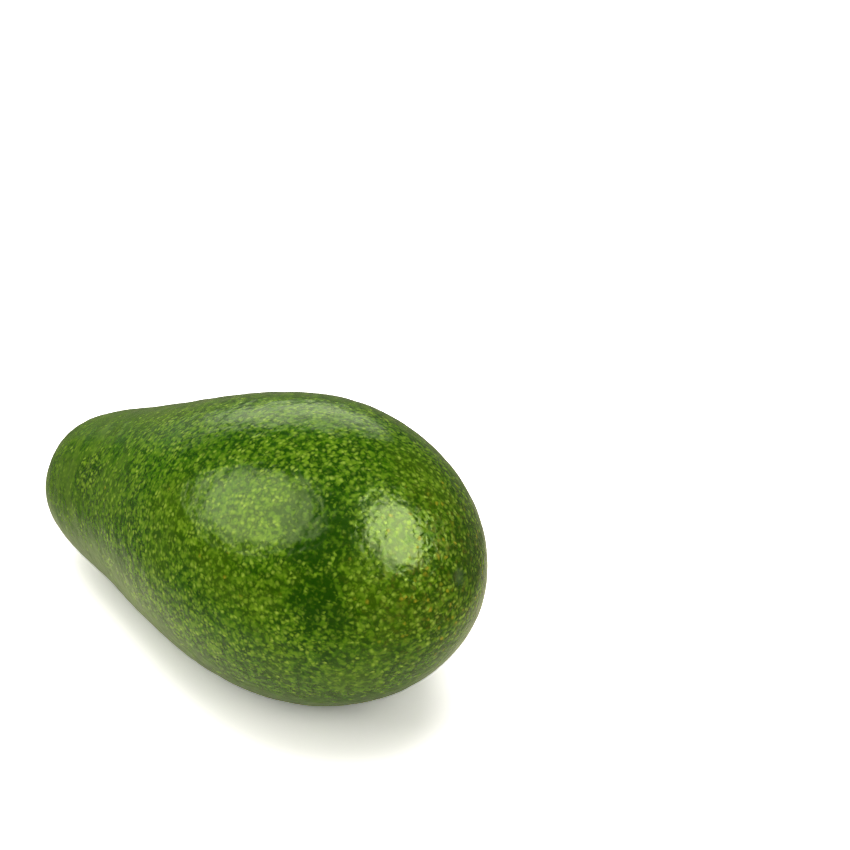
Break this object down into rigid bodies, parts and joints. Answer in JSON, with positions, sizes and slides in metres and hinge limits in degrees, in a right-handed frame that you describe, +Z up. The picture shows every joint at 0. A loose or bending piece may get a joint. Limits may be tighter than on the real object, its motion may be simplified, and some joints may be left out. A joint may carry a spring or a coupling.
{
  "type": "avocado",
  "caption": "Whole green-skinned avocado, pear-shaped with a blunt broad end and a slim neck, lying on its side with a dry stem button at the neck's tip.",
  "frame": {"origin": "middle of the flat resting spot, straight under the centre of mass", "axes": "+Z up, +X towards the broad blossom end, -X towards the stem end"},
  "size_m": [0.1257, 0.0681, 0.0688],
  "materials": {
    "avocado_skin": "waxy green skin with fine pale flecks, semi-gloss",
    "dry_stem": "dry woody brown, matt"
  },
  "bodies": {
    "root": {"avocado_fruit": "avocado_skin", "stem_button": "dry_stem"}
  },
  "joints": []
}
